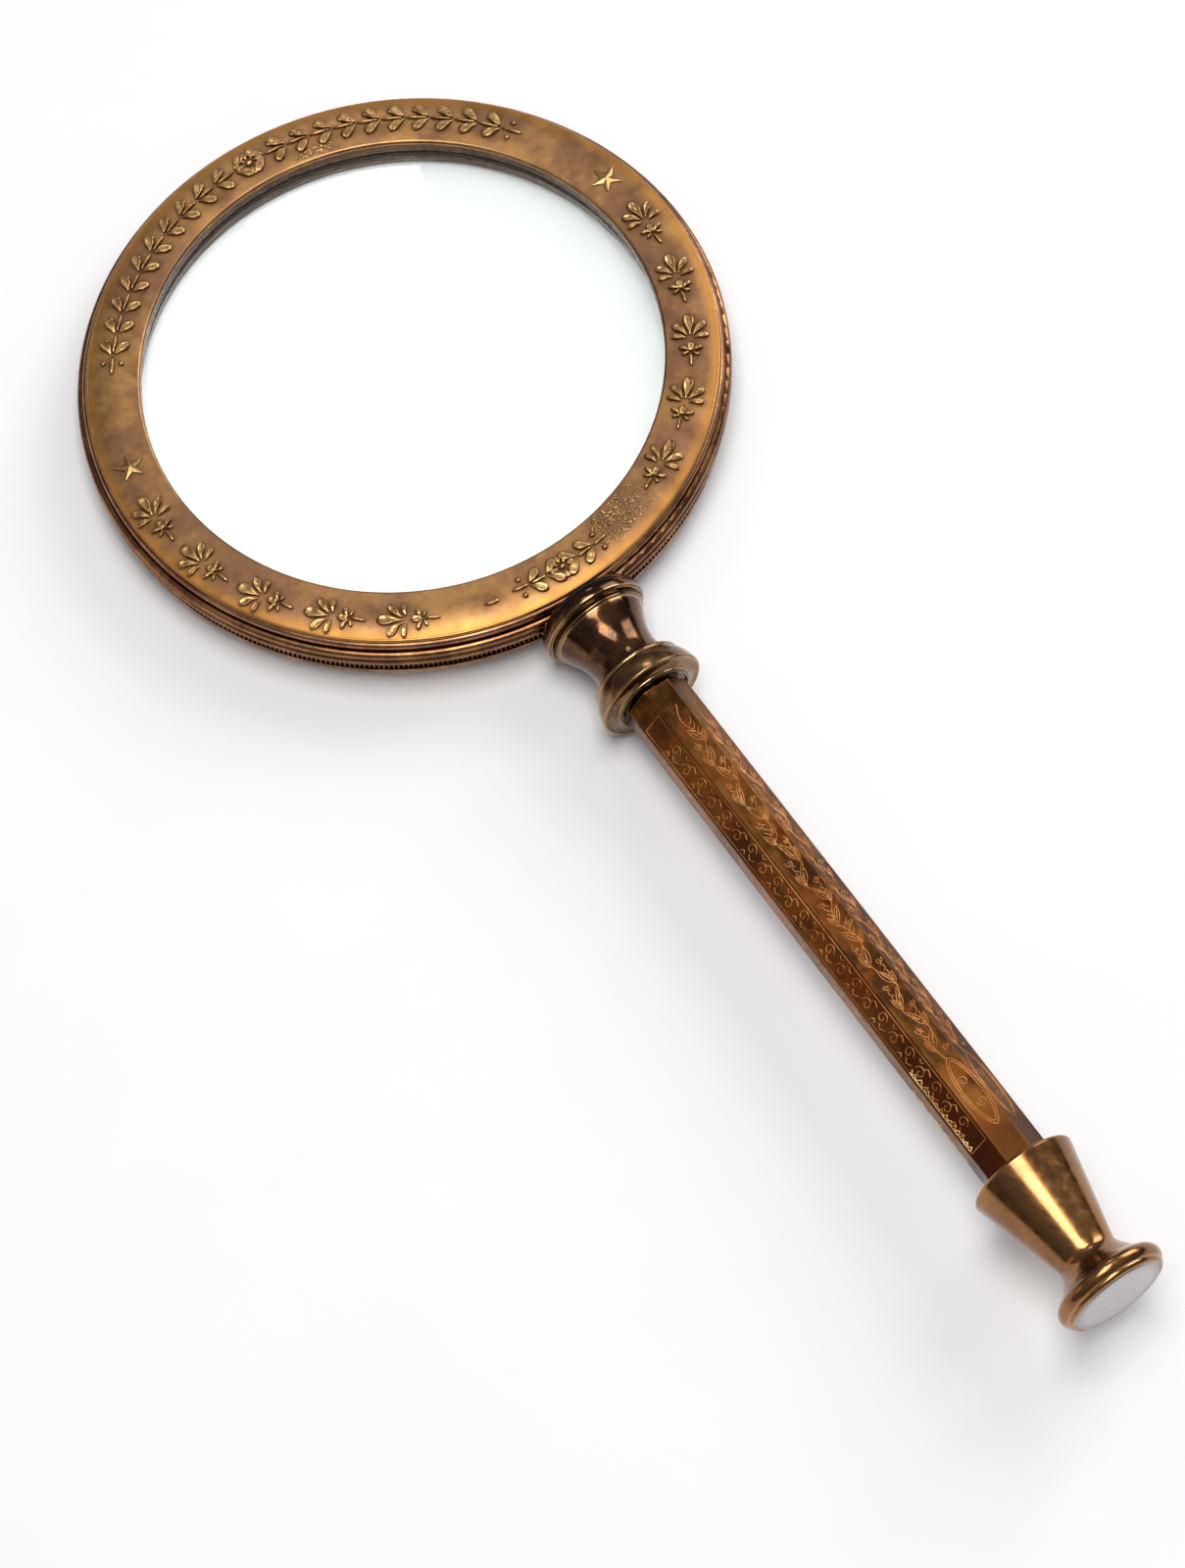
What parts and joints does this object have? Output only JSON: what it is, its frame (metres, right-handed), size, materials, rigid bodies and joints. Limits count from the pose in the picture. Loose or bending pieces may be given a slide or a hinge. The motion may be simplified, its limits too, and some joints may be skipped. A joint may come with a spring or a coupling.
{
  "type": "hand lens",
  "caption": "Round reading lens in a brass rim with an embossed front plate, on an octagonal brass tube handle with a waisted neck and a flared pommel.",
  "frame": {"origin": "centre of the flat end face of the pommel, on the handle's axis", "axes": "+Y along the handle towards the lens, +Z out of the decorated front of the rim, parallel to the lens axis, +X to the right seen from the front"},
  "size_m": [0.12, 0.2794, 0.0206],
  "materials": {
    "face_brass": "aged satin",
    "rim_brass": "aged satin",
    "neck_bronze": "dark polished patina",
    "tube_brass": "dark patina, engraved",
    "pommel_brass": "polished, aged",
    "inner_brass": "turned",
    "cap_metal": "smooth",
    "steel": "bright zinc",
    "lens_glass": "polished",
    "packing": "matt",
    "fibre": "matt"
  },
  "bodies": {
    "rim": {"rim_body": "rim_brass", "lens": "lens_glass", "rear_packing_ring": "packing", "front_packing_ring": "packing", "rim_stud": "steel"},
    "slip_ring": {"slip_ring": "inner_brass"},
    "bezel": {"bezel_ring": "rim_brass", "face_plate": "face_brass"},
    "neck_washer": {"neck_washer": "fibre"},
    "handle": {"neck_ferrule": "neck_bronze", "neck_flange": "neck_bronze", "handle_tube": "tube_brass", "upper_plug": "inner_brass", "lower_plug": "inner_brass", "tie_rod": "steel", "plug_washer": "steel", "rod_nut": "steel"},
    "pommel_washer": {"pommel_washer": "fibre"},
    "pommel": {"pommel": "pommel_brass", "end_cap": "cap_metal"}
  },
  "joints": [
    {"name": "bezel_rise", "type": "slide", "parent": "rim", "child": "slip_ring", "axis": [0, 0, 1], "range_m": [0, 0.001]},
    {"name": "bezel_unscrew", "type": "hinge", "parent": "slip_ring", "child": "bezel", "pos_m": [0, 0.2194, 0], "axis": [0, 0, 1], "range_deg": [0, 721]},
    {"name": "handle_draw", "type": "slide", "parent": "rim", "child": "neck_washer", "axis": [0, -1, 0], "range_m": [0, 0.0048]},
    {"name": "handle_unscrew", "type": "hinge", "parent": "neck_washer", "child": "handle", "pos_m": [0, 0.151, 0], "axis": [0, -1, 0], "range_deg": [0, 2161]},
    {"name": "pommel_draw", "type": "slide", "parent": "handle", "child": "pommel_washer", "axis": [0, -1, 0], "range_m": [0, 0.0042]},
    {"name": "pommel_unscrew", "type": "hinge", "parent": "pommel_washer", "child": "pommel", "pos_m": [0, 0.013, 0], "axis": [0, -1, 0], "range_deg": [0, 2161]}
  ],
  "couplings": [
    {"joint": "bezel_unscrew", "follows": "bezel_rise", "rad_per_m": 12566},
    {"joint": "handle_unscrew", "follows": "handle_draw", "rad_per_m": 7854},
    {"joint": "pommel_unscrew", "follows": "pommel_draw", "rad_per_m": 8976}
  ]
}
